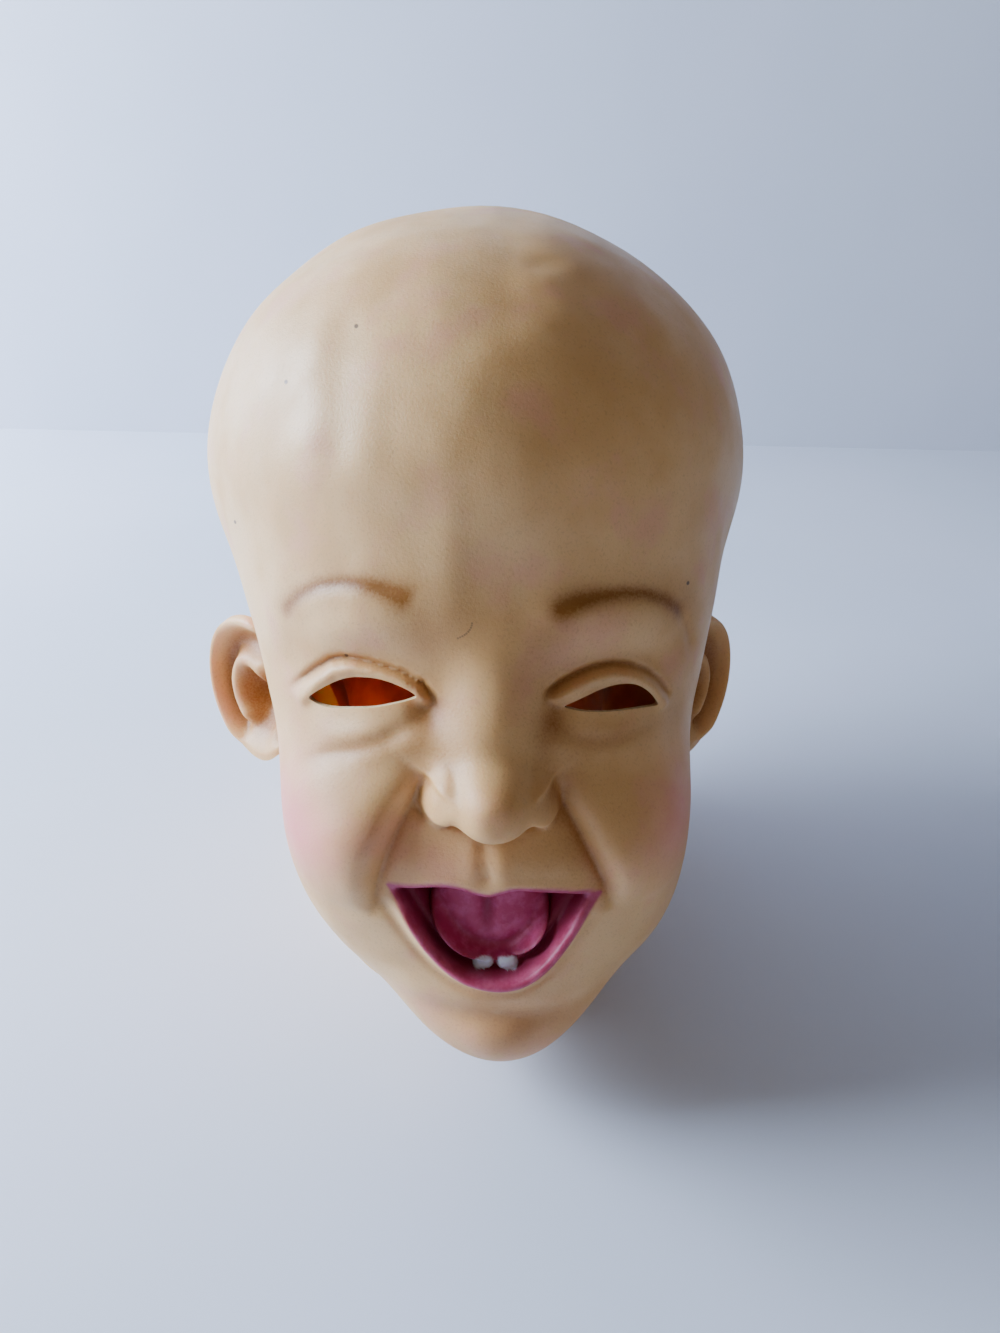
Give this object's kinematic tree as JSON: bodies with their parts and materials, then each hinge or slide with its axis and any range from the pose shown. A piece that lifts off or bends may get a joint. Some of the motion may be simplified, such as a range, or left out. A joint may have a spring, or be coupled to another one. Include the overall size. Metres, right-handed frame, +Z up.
{
  "type": "latex baby face mask",
  "caption": "Hollow full-head latex mask of a laughing baby, open at the neck, with almond eye holes, cupped ears and a mouth lined with a tongue and teeth.",
  "frame": {"origin": "middle of the bounding box, on the floor that the cut neck rim stands on", "axes": "+Z up from the neck rim to the crown, -Y the way the face looks, +X to the viewer's right"},
  "size_m": [0.1978, 0.2704, 0.2582],
  "materials": {
    "latex": "matt cast latex, airbrushed"
  },
  "bodies": {
    "root": {"mask": "latex"}
  },
  "joints": []
}
